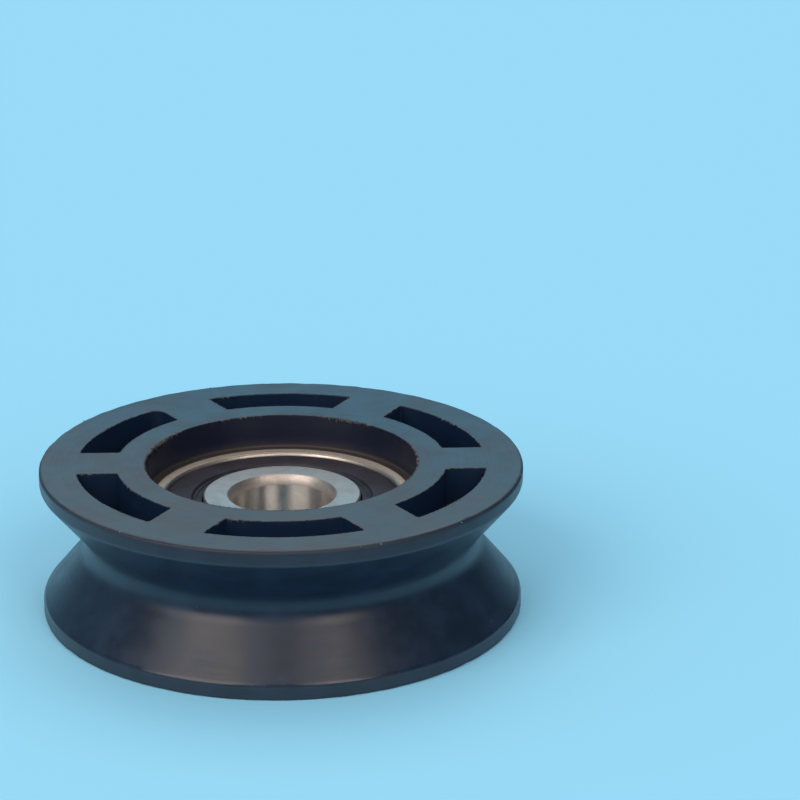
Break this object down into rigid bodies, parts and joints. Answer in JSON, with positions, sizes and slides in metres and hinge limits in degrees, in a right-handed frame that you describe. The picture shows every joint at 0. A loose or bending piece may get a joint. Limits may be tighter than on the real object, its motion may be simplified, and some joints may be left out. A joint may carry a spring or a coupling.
{
  "type": "nylon bearing wheel",
  "caption": "Black nylon wheel with a V groove around its rim, moulded around a sealed ball bearing; pockets and a recess in each side face.",
  "frame": {"origin": "middle of the bore, halfway between the wheel's two side faces", "axes": "+Z along the axle, up when the wheel lies on its side face; +X through a rib between two pockets"},
  "size_m": [0.048, 0.048, 0.015],
  "materials": {
    "black_nylon": "black moulded nylon, satin, with faint turning lines in the groove",
    "ring_steel": "ground bearing steel",
    "ball_steel": "polished bearing steel",
    "cage_steel": "pressed steel sheet",
    "seal_rubber": "black moulded rubber",
    "insert_steel": "plain steel washer"
  },
  "bodies": {
    "wheel": {"nylon_wheel": "black_nylon", "outer_ring": "ring_steel", "seal_upper": "seal_rubber", "seal_lower": "seal_rubber", "seal_insert_upper": "insert_steel", "seal_insert_lower": "insert_steel"},
    "inner_ring": {"inner_ring": "ring_steel"},
    "cage": {"cage_upper": "cage_steel", "cage_lower": "cage_steel", "cage_rivet_1": "cage_steel", "cage_rivet_2": "cage_steel", "cage_rivet_3": "cage_steel", "cage_rivet_4": "cage_steel", "cage_rivet_5": "cage_steel", "cage_rivet_6": "cage_steel", "cage_rivet_7": "cage_steel"},
    "ball_1": {"ball_1": "ball_steel"},
    "ball_2": {"ball_2": "ball_steel"},
    "ball_3": {"ball_3": "ball_steel"},
    "ball_4": {"ball_4": "ball_steel"},
    "ball_5": {"ball_5": "ball_steel"},
    "ball_6": {"ball_6": "ball_steel"},
    "ball_7": {"ball_7": "ball_steel"}
  },
  "joints": [
    {"name": "inner_ring_spin", "type": "hinge", "parent": "wheel", "child": "inner_ring", "pos_m": [0, 0, 0], "axis": [0, 0, 1], "continuous": true},
    {"name": "cage_orbit", "type": "hinge", "parent": "wheel", "child": "cage", "pos_m": [0, 0, 0], "axis": [0, 0, 1], "continuous": true},
    {"name": "ball_1_spin", "type": "hinge", "parent": "cage", "child": "ball_1", "pos_m": [0.009, 0, 0], "axis": [0, 0, 1], "continuous": true},
    {"name": "ball_2_spin", "type": "hinge", "parent": "cage", "child": "ball_2", "pos_m": [0.00561, 0.00704, 0], "axis": [0, 0, 1], "continuous": true},
    {"name": "ball_3_spin", "type": "hinge", "parent": "cage", "child": "ball_3", "pos_m": [-0.002, 0.00877, 0], "axis": [0, 0, 1], "continuous": true},
    {"name": "ball_4_spin", "type": "hinge", "parent": "cage", "child": "ball_4", "pos_m": [-0.00811, 0.0039, 0], "axis": [0, 0, 1], "continuous": true},
    {"name": "ball_5_spin", "type": "hinge", "parent": "cage", "child": "ball_5", "pos_m": [-0.00811, -0.0039, 0], "axis": [0, 0, 1], "continuous": true},
    {"name": "ball_6_spin", "type": "hinge", "parent": "cage", "child": "ball_6", "pos_m": [-0.002, -0.00877, 0], "axis": [0, 0, 1], "continuous": true},
    {"name": "ball_7_spin", "type": "hinge", "parent": "cage", "child": "ball_7", "pos_m": [0.00561, -0.00704, 0], "axis": [0, 0, 1], "continuous": true}
  ],
  "couplings": [
    {"joint": "cage_orbit", "follows": "inner_ring_spin", "ratio": 0.36771},
    {"joint": "ball_1_spin", "follows": "inner_ring_spin", "ratio": -1.7575},
    {"joint": "ball_2_spin", "follows": "inner_ring_spin", "ratio": -1.7575},
    {"joint": "ball_3_spin", "follows": "inner_ring_spin", "ratio": -1.7575},
    {"joint": "ball_4_spin", "follows": "inner_ring_spin", "ratio": -1.7575},
    {"joint": "ball_5_spin", "follows": "inner_ring_spin", "ratio": -1.7575},
    {"joint": "ball_6_spin", "follows": "inner_ring_spin", "ratio": -1.7575},
    {"joint": "ball_7_spin", "follows": "inner_ring_spin", "ratio": -1.7575}
  ]
}
